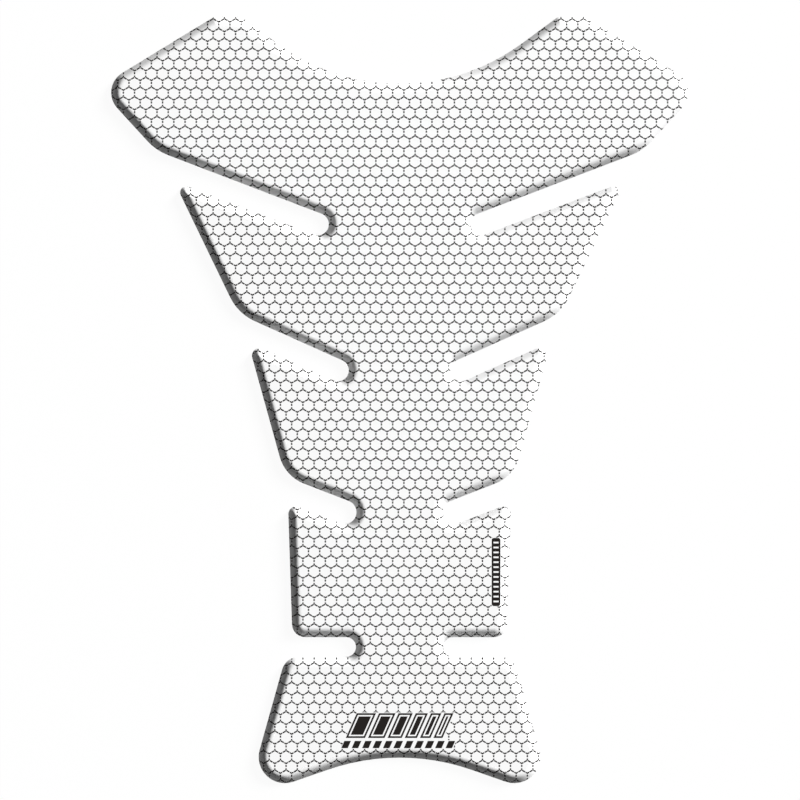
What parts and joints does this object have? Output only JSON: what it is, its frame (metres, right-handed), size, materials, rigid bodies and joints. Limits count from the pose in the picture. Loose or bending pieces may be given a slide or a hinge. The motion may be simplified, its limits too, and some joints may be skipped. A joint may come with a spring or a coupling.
{
  "type": "motorcycle tank pad",
  "caption": "Flat self-adhesive protection pad for a motorcycle fuel tank, with an arched notch, swept fins, a flared foot and a domed edge.",
  "frame": {"origin": "middle of the back face's bounding box, on the back face", "axes": "+Z out of the printed face, +Y along the length towards the notched end, +X across the width"},
  "size_m": [0.1582, 0.2102, 0.003],
  "materials": {
    "pad": "gloss white with a fine black honeycomb print"
  },
  "bodies": {
    "root": {"tank_pad": "pad"}
  },
  "joints": []
}
